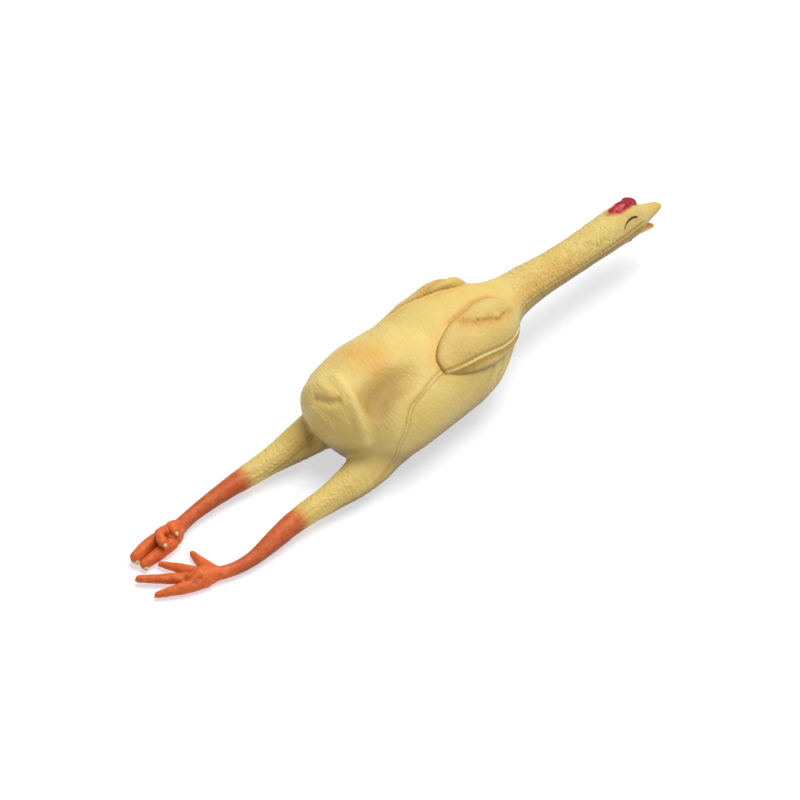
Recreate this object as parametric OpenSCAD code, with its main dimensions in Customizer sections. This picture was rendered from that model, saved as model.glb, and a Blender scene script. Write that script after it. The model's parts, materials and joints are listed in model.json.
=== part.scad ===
// Rubber chicken prop, lying on its belly with its neck stretched out and its legs trailing.
// Millimetres. +X points towards the beak, +Y to the chicken's left side, +Z up.
// The origin is under the middle of the whole chicken, on the surface that it lies on.

/* [Body] */
// Greatest width of the hollow body
body_w = 98.4; // [90:0.2:104]
// Greatest height of the hollow body
body_h = 84; // [78:1:90]
// Thickness of the rubber skin
wall = 2.5; // [1.5:0.1:4]
// How much the wings stand out from the body
wing_lift = 3.5; // [2:0.5:5]

/* [Neck and head] */
// Radius of the neck at its thinnest place
neck_r = 14; // [12:0.5:16]
// Radius of the head
head_r = 15.4; // [14:0.2:17]
// Swing of each neck joint, to each side
neck_swing = 28; // [10:1:30]
// How far the lower beak opens
jaw_open = 25; // [10:1:30]
// How far the lower beak can be pressed up
jaw_close = 6; // [2:1:8]

/* [Legs and feet] */
// Lift and drop of a leg at the hip
hip_swing = 20; // [10:1:24]
// Outward swing of a leg at the thigh
splay_swing = 30; // [10:1:35]
// Bend of a leg at the hock, each way
hock_swing = 35; // [10:1:40]
// Bend of a foot at the ankle, each way
ankle_swing = 25; // [10:1:30]
// Bend of a toe, each way
toe_swing = 25; // [5:1:30]
// Length of a nail
nail_len = 2.4; // [1.5:0.1:3]

/* [Hidden] */
$fn = 48;

// Clearance left on each side of a joint's axis, and the spare angle on each side of its gap
joint_gap = 0.25;
spare = 0.8;
// Size of the blocks that cut a joint's gap
reach = 60;
// Clearance between a wing and the body under it
wing_gap = 0.4;

skin_yellow = "khaki";
leg_orange = "tomato";
comb_red = "crimson";
eye_black = "black";
nail_cream = "cornsilk";

// The body's outline: [place along the body, share of the width, share of the height, centre height]
outline = [
    [-99, 0.36, 0.33, 43.5], [-91, 0.68, 0.66, 41.5], [-74, 0.93, 0.88, 37.6], [-45, 1, 0.95, 39],
    [-15, 0.97, 0.95, 39], [8, 0.98, 1, 41], [26, 0.92, 1, 41.6], [42, 0.81, 0.89, 43.5],
    [56, 0.67, 0.74, 46], [67, 0.53, 0.6, 47.5], [76, 0.43, 0.5, 49.5]
];
body_front = outline[len(outline) - 1][0];
tail_r = 15;
tail_spread = 10;
function half_w(x) = body_w / 2 * lookup(x, [for (s = outline) [s[0], s[1]]]);
function half_h(x) = body_h / 2 * lookup(x, [for (s = outline) [s[0], s[2]]]);
function centre_z(x) = lookup(x, [for (s = outline) [s[0], s[3]]]);

// Places of the joints, from the body outwards
neck_base = [104, 0, 52.3];
neck_sway = [136, 0, 51];
neck_bend = [168, 0, 50.2];
head_sway = [200, 0, 50];
head_front = [243, 0, 47.5];
jaw = [232.5, -0.5, 37];
beak_tip = [262.4, -0.5, 43];
jaw_tip = [250, -3.5, 31];
mouth_z = 40.5;
head_axis = head_front - head_sway;

// A wing is a row of balls laid on the body: [place, ball radius, lift, low angle, high angle]
wing_rows = [
    [-17, 5, 0.4, 38, 46], [8, 9, 1, 28, 60], [36, 10, 1.1, 24, 60], [54, 10.5, 2, 18, 46]
];

// Legs: each list holds [centre, radius] from the hip to the ankle
right_leg = [
    [[-82.8, -23.4, 17.5], 17], [[-104.8, -25.9, 17], 15], [[-127.8, -25.4, 14.5], 11.8],
    [[-155.2, -23.8, 12], 8.3], [[-172.6, -24.2, 10], 6.8], [[-194, -24, 7], 5], [[-210.4, -19.9, 6], 4.3]
];
left_leg = [
    [[-81.2, 31, 19.5], 17.5], [[-103.2, 32.4, 18], 14], [[-126.2, 32.7, 15.5], 10],
    [[-155.2, 31.7, 12], 7.5], [[-175.2, 32.2, 10], 6], [[-195.2, 31.7, 8.5], 5.2], [[-207.2, 30.7, 8], 5.2]
];
right_palm = [[-223, -14.4, 6], 4.6];
left_palm = [[-219.2, 28.2, 9], 6];

// Toes in the order hind, inner, middle, outer: [[root, radius], [knuckle, radius], [tip, radius], spin]
right_toes = [
    [[[-222.4, -11.4, 5], 3.6], [[-220.6, -1.5, 4.6], 3.1], [[-217.4, 10.6, 3], 1.7], 0],
    [[[-227.4, -8.4, 5], 3.6], [[-233.4, 4.6, 5], 3], [[-239.6, 15.6, 3], 1.6], 0],
    [[[-231.4, -11.4, 5], 3.6], [[-244.4, -0.4, 5.3], 3], [[-261.7, 16.2, 4.6], 2], 0],
    [[[-230.4, -14.4, 5], 3.6], [[-244.4, -9.5, 4.4], 3], [[-260.4, -1, 3], 1.7], 0]
];
left_toes = [
    [[[-213.4, 31.6, 14], 3.8], [[-216.2, 30.4, 19.4], 3.1], [[-220.6, 23.8, 21.6], 2.2], 0],
    [[[-224.2, 31, 15], 4], [[-229.5, 28.8, 18.2], 3.2], [[-234, 20.6, 18.4], 2.4], 0],
    [[[-225.2, 30.7, 10], 4.8], [[-236.2, 31.8, 9], 4.4], [[-250.2, 31, 6], 3.3], 0],
    [[[-225.2, 24.7, 7], 4.4], [[-236.2, 22.6, 6], 3.7], [[-248.2, 21.2, 4.4], 2.8], 0]
];

// Turns +Z to a direction; the turned Y axis stays level, and so do a joint's own axes at spin 0
module aim(direction) {
    turn = atan2(direction[1], direction[0]);
    tilt = acos(direction[2] / norm(direction));
    rotate([0, tilt, turn]) children();
}

// The two half spaces past a joint. side is 1 past it and -1 before it; the gap closes by swing_down
// on the joint's lower or left-hand side and by swing_up on the other one
module joint_space(place, direction, spin, side, swing_down, swing_up) {
    for (lean = [swing_down / 2 + spare, -swing_up / 2 - spare])
        translate(place) aim(direction) rotate([0, 0, spin]) rotate([0, side * lean, 0])
            translate([-reach, -reach, side > 0 ? -joint_gap : joint_gap - 2 * reach]) cube(2 * reach);
}

// A cone between two points, carried on past both of them by extra
module limb(p, r_p, q, r_q, extra = 7) {
    slope = (r_q - r_p) / norm(q - p);
    translate(p) aim(q - p) translate([0, 0, -extra])
        cylinder(h = norm(q - p) + 2 * extra, r1 = r_p - slope * extra, r2 = r_q + slope * extra);
}

// The sealed air space inside a limb
module limb_void(p, r_p, q, r_q, inset) {
    translate(p) aim(q - p) translate([0, 0, inset])
        cylinder(h = norm(q - p) - 2 * inset, r1 = r_p - wall, r2 = r_q - wall);
}

// Round links from ball to ball: each entry is [centre, radius]
module links(balls, facets = 20) {
    for (i = [1 : len(balls) - 1])
        hull() {
            translate(balls[i - 1][0]) sphere(balls[i - 1][1], $fn = facets);
            translate(balls[i][0]) sphere(balls[i][1], $fn = facets);
        }
}

// The body's outside, or its inside when inset is the wall, as ellipses joined in a row
module body_form(inset) {
    hull()
        for (s = outline) {
            end_inset = s[0] == outline[0][0] ? inset : s[0] == body_front ? -inset : 0;
            translate([s[0] + end_inset, 0, s[3]]) rotate([0, 90, 0])
                scale([half_h(s[0]) - inset, half_w(s[0]) - inset, 1]) cylinder(h = 0.05, r = 1, center = true);
        }
}

// Thigh roots, moulded with the body
module thigh_root(leg) {
    p = leg[0];
    q = leg[1];
    difference() {
        limb(p[0], p[1], q[0], q[1], 6);
        joint_space(q[0], [-1, 0, 0], 0, 1, hip_swing, hip_swing);
    }
}

module floor_cut() {
    translate([-150, -60, -20]) cube([300, 120, 20]);
}

module torso_shell() {
    color(skin_yellow)
        difference() {
            union() {
                body_form(0);
                thigh_root(right_leg);
                thigh_root(left_leg);
            }
            body_form(wall);
            floor_cut();
        }
}

// The blunt lobe at the rear, a round bar laid across the end of the back
module tail() {
    color(skin_yellow)
        difference() {
            hull()
                for (side = [-1, 1])
                    translate([-88.5, 1 + side * tail_spread, 53.5]) sphere(tail_r, $fn = 36);
            body_form(0);
        }
}

module neck_collar() {
    front_r = half_h(body_front);
    color(skin_yellow)
        difference() {
            translate([body_front, 0, centre_z(body_front)]) aim(neck_base - [body_front, 0, centre_z(body_front)])
                rotate_extrude()
                    polygon([[0, 0.1], [front_r, 0.1], [18.6, 8], [16.8, 16], [15.8, 27], [15.4, 36], [0, 36]]);
            translate([body_front - 20, -reach, 0]) cube([20.1, 2 * reach, 2 * reach]);
            joint_space(neck_base, [1, 0, 0], 0, 1, neck_swing, neck_swing);
            limb_void([body_front, 0, centre_z(body_front)], 17.5, neck_base - [9, 0, 0], 15.5, 3);
        }
}

// One neck segment between two joints
module neck_part(from, r_from, spin_from, to, r_to, spin_to) {
    color(skin_yellow)
        difference() {
            limb(from, r_from, to, r_to);
            joint_space(from, [1, 0, 0], spin_from, -1, neck_swing, neck_swing);
            joint_space(to, [1, 0, 0], spin_to, 1, neck_swing, neck_swing);
            limb_void(from, r_from, to, r_to, 7.5);
        }
}

module neck_lower() {
    neck_part(neck_base, neck_r + 1.6, 0, neck_sway, neck_r, 90);
}

module neck_middle() {
    neck_part(neck_sway, neck_r, 90, neck_bend, neck_r, 0);
}

module neck_upper() {
    neck_part(neck_bend, neck_r, 0, head_sway, neck_r + 1, 90);
}

// The head's outside, a turned shape about its own axis
module head_form() {
    translate(head_sway) aim(head_axis)
        rotate_extrude()
            polygon([[0, -7], [neck_r + 0.6, -7], [neck_r + 1, 0], [head_r, 10], [head_r, 20], [head_r - 0.7, 27],
                     [head_r - 2.4, 34], [head_r - 4.8, 40], [8.6, norm(head_axis)], [0, norm(head_axis)]]);
}

// The open mouth: a level roof, and the joint's slope behind the lower beak
module mouth_space() {
    intersection() {
        joint_space(jaw, [1, 0, 0], 0, 1, jaw_open, jaw_close + 30);
        translate([jaw[0] - 10, -reach, mouth_z - reach]) cube([reach, 2 * reach, reach]);
    }
}

module head_shell() {
    color(skin_yellow)
        difference() {
            head_form();
            joint_space(head_sway, [1, 0, 0], 90, -1, neck_swing, neck_swing);
            mouth_space();
            limb_void(head_sway, head_r, head_sway + 0.62 * head_axis, head_r - 0.5, 7.5);
        }
}

module upper_beak() {
    color(skin_yellow)
        difference() {
            hull() {
                translate(head_front + [0.1, 0, 0]) aim(head_axis) cylinder(h = 0.1, r = 8.5, $fn = 32);
                translate(head_front + [9, -0.2, -1.2]) sphere(5.2, $fn = 32);
                translate(beak_tip) sphere(2, $fn = 24);
            }
            translate([jaw[0], -reach, mouth_z - reach]) cube([reach, 2 * reach, reach]);
            head_form();
        }
}

module lower_beak() {
    color(skin_yellow)
        difference() {
            links([[jaw + [-1, 0, -0.6], 5.4], [jaw + [8, -1, -2.8], 4.2], [jaw_tip, 1.7]], 24);
            joint_space(jaw, [1, 0, 0], 0, -1, jaw_open, jaw_close);
            translate([jaw[0] - reach, -reach, jaw[2] + 1]) cube([2 * reach, 2 * reach, reach]);
        }
}

module comb() {
    color(comb_red)
        difference() {
            union() {
                links([[[207.5, 0, 61], 4.2], [[218, 0, 62], 5.2], [[229, 0, 60.5], 4.2]]);
                for (lobe = [[208, 64, 3.4], [214.5, 66, 3.6], [221, 66.5, 3.6], [228, 64.5, 3.4]])
                    translate([lobe[0], 0, lobe[1]]) sphere(lobe[2], $fn = 20);
            }
            head_form();
        }
}

// A flap of bare red skin on each side below the jaw
module wattle() {
    color(comb_red)
        difference() {
            for (side = [-1, 1])
                translate([217, side * 9.5, 38.5]) sphere(4.6, $fn = 28);
            head_form();
        }
}

// A closed eyelid, a low dome on the side of the head
module eyelid(side) {
    color(eye_black)
        difference() {
            translate([217, side * 11.6, 55.5]) sphere(4, $fn = 28);
            head_form();
        }
}

module left_eyelid() {
    eyelid(1);
}

module right_eyelid() {
    eyelid(-1);
}

// A ball of a wing's row, touching the body's side at an angle above level
module wing_ball(row, angle, side) {
    x = row[0];
    ball_r = row[1];
    lift = row[2] * wing_lift - ball_r;
    translate([x, side * (half_w(x) + lift) * cos(angle), centre_z(x) + (half_h(x) + lift) * sin(angle)])
        sphere(ball_r, $fn = 24);
}

module wing(side) {
    color(skin_yellow)
        difference() {
            hull()
                for (row = wing_rows)
                    for (angle = [row[3], (row[3] + row[4]) / 2, row[4]])
                        wing_ball(row, angle, side);
            body_form(-wing_gap);
        }
}

module left_wing() {
    wing(1);
}

module right_wing() {
    wing(-1);
}

// The upper thigh, from the hip to the splay joint; side is 1 on the left and -1 on the right
module thigh_upper(leg, side) {
    p = leg[1];
    q = leg[2];
    color(skin_yellow)
        difference() {
            limb(p[0], p[1], q[0], q[1]);
            joint_space(p[0], [-1, 0, 0], 0, -1, hip_swing, hip_swing);
            joint_space(q[0], [-1, 0, 0], 90, 1, side < 0 ? splay_swing : 1, side < 0 ? 1 : splay_swing);
        }
}

// The lower thigh, from the splay joint to the hock
module thigh_lower(leg, side) {
    p = leg[2];
    q = leg[3];
    color(skin_yellow)
        difference() {
            limb(p[0], p[1], q[0], q[1]);
            joint_space(p[0], [-1, 0, 0], 90, -1, side < 0 ? splay_swing : 1, side < 0 ? 1 : splay_swing);
            joint_space(q[0], [-1, 0, 0], 0, 1, hock_swing, hock_swing);
        }
}

// The shank, from the hock to the ankle
module shank(leg, palm) {
    root = leg[3][0] + (leg[3][0] - leg[4][0]) * 0.3;
    ankle = leg[6][0];
    color(leg_orange)
        difference() {
            links([[root, leg[3][1] + 0.4], leg[4], leg[5], leg[6], [ankle + (palm[0] - ankle) * 0.3, leg[6][1]]]);
            joint_space(leg[3][0], [-1, 0, 0], 0, -1, hock_swing, hock_swing);
            joint_space(ankle, palm[0] - ankle, 0, 1, ankle_swing, ankle_swing);
        }
}

// The foot's fixed part: the palm with the roots of its toes
module foot(leg, palm, toes) {
    ankle = leg[6][0];
    color(leg_orange)
        difference() {
            union() {
                links([[ankle + (ankle - palm[0]) * 0.3, leg[6][1]], palm]);
                for (toe = toes)
                    difference() {
                        hull() {
                            translate(palm[0]) sphere(palm[1], $fn = 20);
                            translate(toe[0][0]) sphere(toe[0][1], $fn = 20);
                            translate(toe[1][0]) sphere(toe[1][1], $fn = 20);
                        }
                        joint_space(toe[1][0], toe[2][0] - toe[1][0], toe[3], 1, toe_swing, toe_swing);
                    }
            }
            joint_space(ankle, palm[0] - ankle, 0, -1, ankle_swing, ankle_swing);
        }
}

// The moving end of a toe
module toe_end(toe) {
    knuckle = toe[1];
    tip = toe[2];
    back = knuckle[0] + (knuckle[0] - tip[0]) * 0.1;
    color(leg_orange)
        difference() {
            links([[back, knuckle[1]], knuckle, tip], 16);
            joint_space(knuckle[0], tip[0] - knuckle[0], toe[3], -1, toe_swing, toe_swing);
        }
}

// The nail, a cone that caps the toe's end
module nail(toe) {
    along = (toe[2][0] - toe[1][0]) / norm(toe[2][0] - toe[1][0]);
    start = toe[2][0] + along * (toe[2][1] - 1.2);
    color(nail_cream)
        difference() {
            translate(start) aim(along) cylinder(h = nail_len, r1 = toe[2][1] * 0.75, r2 = 0.5, $fn = 24);
            translate(toe[2][0]) sphere(toe[2][1], $fn = 16);
        }
}

torso_shell();
tail();
neck_collar();
neck_lower();
neck_middle();
neck_upper();
head_shell();
upper_beak();
lower_beak();
comb();
wattle();
left_eyelid();
right_eyelid();
left_wing();
right_wing();
thigh_upper(right_leg, -1);  // right_thigh_upper
thigh_lower(right_leg, -1);  // right_thigh_lower
shank(right_leg, right_palm);  // right_shank
foot(right_leg, right_palm, right_toes);  // right_foot
toe_end(right_toes[0]);  // right_hind_toe
toe_end(right_toes[1]);  // right_inner_toe
toe_end(right_toes[2]);  // right_middle_toe
toe_end(right_toes[3]);  // right_outer_toe
nail(right_toes[0]);  // right_hind_nail
nail(right_toes[1]);  // right_inner_nail
nail(right_toes[2]);  // right_middle_nail
nail(right_toes[3]);  // right_outer_nail
thigh_upper(left_leg, 1);  // left_thigh_upper
thigh_lower(left_leg, 1);  // left_thigh_lower
shank(left_leg, left_palm);  // left_shank
foot(left_leg, left_palm, left_toes);  // left_foot
toe_end(left_toes[0]);  // left_hind_toe
toe_end(left_toes[1]);  // left_inner_toe
toe_end(left_toes[2]);  // left_middle_toe
toe_end(left_toes[3]);  // left_outer_toe
nail(left_toes[0]);  // left_hind_nail
nail(left_toes[1]);  // left_inner_nail
nail(left_toes[2]);  // left_middle_nail
nail(left_toes[3]);  // left_outer_nail
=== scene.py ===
"""Rubber chicken, the looks: a moulded latex skin shaped by distance fields.

The fields are written in millimetres in the row frame. Each region is meshed once,
then divided by whole faces into pieces at the joints. The curled toes,
wings, lower beak, comb and wattle are closed shapes of their own.
"""

import json
import math

import bpy
import numpy as np
import openvdb
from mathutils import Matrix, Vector


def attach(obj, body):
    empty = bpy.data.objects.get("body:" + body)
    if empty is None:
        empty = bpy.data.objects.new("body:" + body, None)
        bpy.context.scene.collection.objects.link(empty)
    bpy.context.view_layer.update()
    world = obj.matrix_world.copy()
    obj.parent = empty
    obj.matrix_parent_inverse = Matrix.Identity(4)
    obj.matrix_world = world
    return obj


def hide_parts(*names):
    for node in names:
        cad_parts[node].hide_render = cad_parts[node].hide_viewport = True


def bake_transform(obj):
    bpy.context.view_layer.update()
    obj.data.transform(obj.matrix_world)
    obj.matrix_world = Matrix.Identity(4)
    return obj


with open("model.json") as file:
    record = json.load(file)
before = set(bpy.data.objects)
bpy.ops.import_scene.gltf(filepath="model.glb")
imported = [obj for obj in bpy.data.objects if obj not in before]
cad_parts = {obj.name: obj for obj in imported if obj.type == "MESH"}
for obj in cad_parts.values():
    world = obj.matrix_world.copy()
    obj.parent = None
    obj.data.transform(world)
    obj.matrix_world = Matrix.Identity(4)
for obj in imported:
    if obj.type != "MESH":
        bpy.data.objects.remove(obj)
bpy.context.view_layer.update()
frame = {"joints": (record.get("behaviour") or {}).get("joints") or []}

MM = 0.001
JOINT = {j["name"]: np.array(j["pos_m"], float) / MM for j in frame["joints"]}

# ---- dimensions, mm

# trunk, neck, head and upper beak: x, centre y, centre z, half width, half height
TRUNK_ROWS = [
    (-104, 0, 47, 8, 8), (-99, 0, 46, 22, 17), (-91, 0, 43, 34, 28),
    (-74, 0, 38.5, 46, 37.5), (-45, 0, 39.5, 49.2, 40), (-15, 0, 39.5, 47.7, 40),
    (8, 0, 41.5, 48.3, 42), (26, 0, 42, 45.3, 42), (42, 0, 43.6, 39.8, 37.5),
    (56, 0, 46, 33, 31), (67, 0, 47.5, 26, 25), (76, 0, 49.5, 21, 21),
    (88, 0, 51.4, 17.2, 17.5), (104, 0, 51.9, 15.7, 15.9), (136, 0, 50.2, 14, 14.2),
    (168, 0, 49.2, 14, 14.2), (200, 0, 49.3, 14.8, 15.2), (222, -0.6, 49.8, 15, 15.4),
    (230, -1.3, 48.8, 12.8, 13.2), (238, -1.7, 46.9, 9.5, 9.1),
    (246, -2.1, 46, 7.1, 6.9), (252, -2.5, 45.7, 5.5, 5.5),
    (257, -2.9, 45.5, 4.1, 4.3), (261, -3.2, 44.8, 2.4, 2.6), (263.2, -3.4, 44.5, 0.7, 0.8),
]
JAW_ROWS = [
    (213, -0.3, 46, 11, 9), (220, -0.9, 44.2, 10.6, 8.2), (227, -1.8, 41.8, 9.8, 6.8),
    (234, -3, 39, 8.4, 4.9), (240, -4.2, 36.6, 6.4, 3.2), (245.5, -5.2, 34.8, 4.6, 2.1),
    (249, -5.8, 33.8, 3.2, 1.3), (251.4, -6, 33.4, 0.9, 0.5),
]
MOUTH_ROOF = [(217, 30), (222, 35), (229, 39.5), (238, 41), (250, 41.4), (266, 41.6)]
RUMP_CENTRE, RUMP_SIZE = (-88, 2.6, 50), (18.6, 28.5, 22)
RUMP_SOFTNESS = 9
HIP_SOFTNESS = 6.5
FLOOR_SOFTNESS = 2.5

# legs: centre and radius at each station, from the hip to the ankle
LEG = {
    "right": [
        (-66, -23, 19, 15), (-82.8, -26.6, 18.5, 15.2), (-104.8, -28.4, 16.5, 12.4),
        (-127.8, -26.8, 14, 9.4), (-155.2, -24.6, 12, 7.8), (-172.6, -24.8, 10, 7.0),
        (-194, -25.4, 7, 5.2), (-210.4, -22.6, 6, 4.4), (-223, -17, 6, 4.8),
    ],
    "left": [
        (-66, 23, 20, 15), (-81.2, 24.6, 18.5, 15.6), (-103.2, 26.4, 16.5, 13),
        (-126.2, 28.4, 14.5, 9.6), (-155.2, 31.4, 12, 7.6), (-175.2, 33, 10, 6.1),
        (-195.2, 33.2, 8.5, 5.2), (-207.2, 31.8, 8, 5.2), (-219.2, 28.6, 9, 6.4),
    ],
}
# toes: root, knuckle and tip, each with its radius
TOE = {
    "right": {
        "hind": [(-222.8, -13.6, 5.4, 6.2), (-220.9, -2.4, 4.8, 4.1), (-218.6, 9.6, 3.4, 2.0)],
        "inner": [(-228.4, -9.8, 5.4, 4.6), (-234, 4, 5, 3.5), (-239.6, 17, 3.6, 2.0)],
        "middle": [(-231.4, -11.6, 5.4, 4.6), (-243.4, 0, 5.4, 3.7), (-259, 16.4, 5, 2.6)],
        "outer": [(-230.4, -16.2, 5.2, 4.8), (-243.8, -10.8, 4.9, 4.3), (-259, -2, 3.6, 2.1)],
    },
    "left": {
        "hind": [(-214.6, 30.6, 11, 4.8), (-218.6, 30, 14, 4.0), (-220.4, 24.6, 15.8, 3.3)],
        "inner": [(-223.6, 30.4, 12.4, 5.0), (-229, 29, 15, 4.2), (-232.4, 22.4, 15.4, 3.2)],
        "middle": [(-225.2, 31, 9.6, 5.4), (-236.6, 32.6, 8.2, 4.9), (-248.4, 32, 6.2, 4.2)],
        "outer": [(-225.2, 24, 8, 5.6), (-236.4, 23.2, 6.6, 4.5), (-247.4, 23.8, 5, 3.6)],
    },
}
CLAW_WIDTH = {"right": 0.62, "left": 0.52}
TOE_NAMES = ("hind", "inner", "middle", "outer")
SPLAYED, CURLED = "right", "left"
PALM = {"right": (-227.5, -14.2, 5.6, 6.5), "left": (-221, 28.2, 9.2, 8.2)}

# wings: outline as x and the angle above level, and how far the shape stands out
WING_OUTLINE = {
    "right": [
        (-21.5, 38), (-21, 50), (-15, 59), (-6, 66), (7, 71.5), (21, 73), (36, 74.5),
        (50, 72), (60, 66), (68, 50), (71, 28), (67, 4), (50, 7), (35, 13),
        (21, 15.5), (5, 20.5), (-10, 28), (-18, 34),
    ],
    "left": [
        (-1, 22), (-4, 33), (-3, 42), (4, 47), (14, 54), (25, 62), (38, 68),
        (50, 67), (58, 56), (63, 40), (64, 22), (60, 9), (48, 10), (35, 14),
        (21, 15), (10, 16), (4, 17),
    ],
}
WING_SEAM = [(-22, 37.5), (-12, 34.8), (-3, 33), (16, 29.5), (37, 23), (52, 17), (64, 11.5)]
WING_FOLD = [(14, 64), (26, 55), (35, 51), (41, 46), (50, 46), (60, 44)]
ARC = 0.733  # millimetres along the section for each degree round it
WING_INSIDE = 1.2
WING_LIFT = {"right": 1.05, "left": 1.3}

FLANK = [(-15, -32.5, 69), (-21, -34, 68), (-31.5, -35.2, 67), (-42, -37.2, 65.6),
         (-58, -39.5, 61), (-69.4, -44.5, 49.5), (-76, -44.6, 41), (-78, -41, 27),
         (-90, -40, 19), (-108, -39, 15)]
# creases (below zero) and beads: line, width, height
MARKS = [
    ("flank_groove", FLANK, 1.9, -0.8),
    ("flank_bead", FLANK, 0.7, 1.0),
    ("far_bead", [(-96, 20, 24), (-104, 21, 21), (-120, 23, 17), (-140, 24.5, 14)], 0.9, 1.2),
    ("tail_ridge", [(-79, 15, 73), (-83.5, 3, 73.5), (-87, -12, 71), (-91, -22, 64),
                    (-94, -30, 51), (-93.5, -32, 42)], 4.2, 2.8),
    ("tail_fold", [(-99, 13, 63), (-98, 5, 65), (-96, -2, 66), (-92, -8, 69)], 2.8, -2.3),
    ("tail_lip", [(-90, 20, 70), (-92.5, 10, 70.5), (-94, 3, 70.5)], 2.2, 0.8),
    ("breast_wrinkle_1", [(22, -43, 57), (17, -46, 51), (9, -48, 44)], 1.9, -0.6),
    ("breast_wrinkle_2", [(36, -41, 54), (28, -45, 44), (21, -46, 38)], 2.0, -0.9),
    ("breast_wrinkle_3", [(50, -37, 48), (42, -40, 41), (34, -42, 36)], 2.0, -0.9),
    ("breast_fold", [(43, -39.5, 47), (35, -43, 40), (28, -44, 34)], 1.6, 0.9),
]
NECK_SEAM = [(72, 6), (80, 14), (92, 13), (109, 8), (127, 5), (151, 1), (175, 0), (198, 2),
             (213, 5), (224, 9), (231, 4)]
# broad hollows and swellings: centre, reach, height
SWELLS = [
    ("back_hollow", (-62, -21, 74), (14, 11, 14), -8.5),
    ("back_hollow_tail", (-77, -24, 69), (8, 12, 12), -6.5),
    ("back_hollow_wing", (-46, -25, 74), (11, 8, 12), -4.2),
    ("belly_trim", (14, -38, 12), (24, 14, 14), -1.9),
    ("tail_top", (-92, 6, 70), (8, 16, 8), 1.4),
    ("tail_face", (-100, -4, 58), (7, 9, 7), -1.6),
    ("neck_pimple", (124, -14.5, 50), (1.3, 1.3, 1.3), 0.8),
    ("ankle_knob", (-210, 31, 14), (5, 4, 4), 0.9),
]

PADS = [
    ("fist_crease", (-236, 28, 12), (8, 1.2, 4), -2.2),
    ("fist_crease_inner", (-227, 25.5, 14.5), (3, 2, 3), -1.2),
    ("sole_pad", (-233, -11, 11), (5, 3.6, 4), 2.2),
    ("sole_pad_front", (-239.5, -7, 9), (1.8, 4.5, 3.4), -1.6),
    ("sole_pad_side", (-232, -4.6, 9), (4.5, 1.6, 3.4), -1.5),
    ("sole_pad_outer", (-236, -15, 9), (4, 1.4, 3.4), -1.0),
]

EYE_ARC = [(204.8, 29), (206, 35), (208.4, 41), (212, 45.5), (216.6, 46), (221, 40.5)]
FAR_EYE_DROP = 30
COMB_BALLS = [
    (202.5, 2.4, 58.8, 4.4), (207.5, 0.4, 59.8, 4.6), (210, 3.6, 60.2, 4.6),
    (214, 0.4, 60.8, 4.8), (217.5, 3.4, 61.2, 5), (221.5, 1, 61.6, 5),
    (226, 2.8, 61.6, 5), (230.6, 1.6, 59.8, 4.4),
]
COMB_SPRAY = [(202, 1.4, 59, 4.8), (211, 0.4, 60, 6), (221, 0.6, 61, 6), (231, 1.6, 60, 5)]
WATTLE_BALLS = [(211.5, 8.8, 41.1, 2.9), (216.5, 8.6, 40.1, 3.2), (222, 7.6, 39.9, 2.8)]

# regions: coarse enough to mesh quickly, fine enough for each part's detail
VOXEL_TRUNK, VOXEL_FOOT, VOXEL_HEAD, VOXEL_WING = 0.8, 0.5, 0.4, 0.5
HOCK_X, HEAD_X, OVERLAP = -146, 185, 1.6
TORSO_END, NECK_SPLITS = 91, (120, 152)
LEG_SPLIT_Y, FEET_SPLIT_Y, SHANK_SPLIT_X = 3.5, 20, -186
HIP_NORMAL, HIP_POINT = np.array([-0.863, 0, -0.507]), np.array([-103, 0, 34])
HIP_START, THIGH_START = 0.5, 21.0
LEGS_BEHIND_X, HANDS_BEHIND_X = -40, -200
LEG_MELT, HIP_MELT_X = 2, (-125, -100)  # how far leg and trunk run together, growing towards the hip
PALM_MELT, TOE_MELT, TOES_MELT = 3, 0.9, 2.2
FLOOR_GAP, FOOT_FLOOR_SOFTNESS = 0.15, 1.0
MOUTH_SLOPE, MOUTH_SOFTNESS = 0.8, 1.6
NEAR_SKIN = 9
BEND_REACH = {"neck": 12, "ankle": 8, "toe": 3.4}
TOE_START = -4.2
WING_BEND = (11, -2.5)
BEAK_BEND = (-3.5, 5.5)


# ---- small tools

def ramp(x, low, high):
    """0 below low, 1 above high, smooth between."""
    t = np.clip((x - low) / (high - low), 0, 1)
    return t * t * (3 - 2 * t)


def soft_min(a, b, reach):
    h = np.maximum(reach - np.abs(a - b), 0) / reach
    return np.minimum(a, b) - h * h * reach / 4


def soft_max(a, b, reach):
    return -soft_min(-a, -b, reach)


def unit(v):
    return v / np.linalg.norm(v, axis=-1, keepdims=True)


def gauss(distance, width):
    return np.exp(-(distance / width) ** 2)


NOISE_SIDE = 64
NOISE = np.random.default_rng(7).uniform(-1, 1, NOISE_SIDE ** 3).astype(np.float32)


def lattice_noise(p, size, seed):
    """Smooth noise from -1 to 1, with one swing in each size millimetres."""
    q = (p / np.asarray(size, float)).astype(np.float32) + np.float32(seed * 1.37)
    cell = np.floor(q).astype(np.int32)
    f = q - cell
    f = f * f * (3 - 2 * f)
    low, high = cell % NOISE_SIDE, (cell + 1) % NOISE_SIDE
    total = np.zeros(len(p), np.float32)
    for i, wx in ((low[:, 0], 1 - f[:, 0]), (high[:, 0], f[:, 0])):
        for j, wy in ((low[:, 1], 1 - f[:, 1]), (high[:, 1], f[:, 1])):
            for k, wz in ((low[:, 2], 1 - f[:, 2]), (high[:, 2], f[:, 2])):
                total += wx * wy * wz * NOISE[(i * NOISE_SIDE + j) * NOISE_SIDE + k]
    return total


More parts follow.
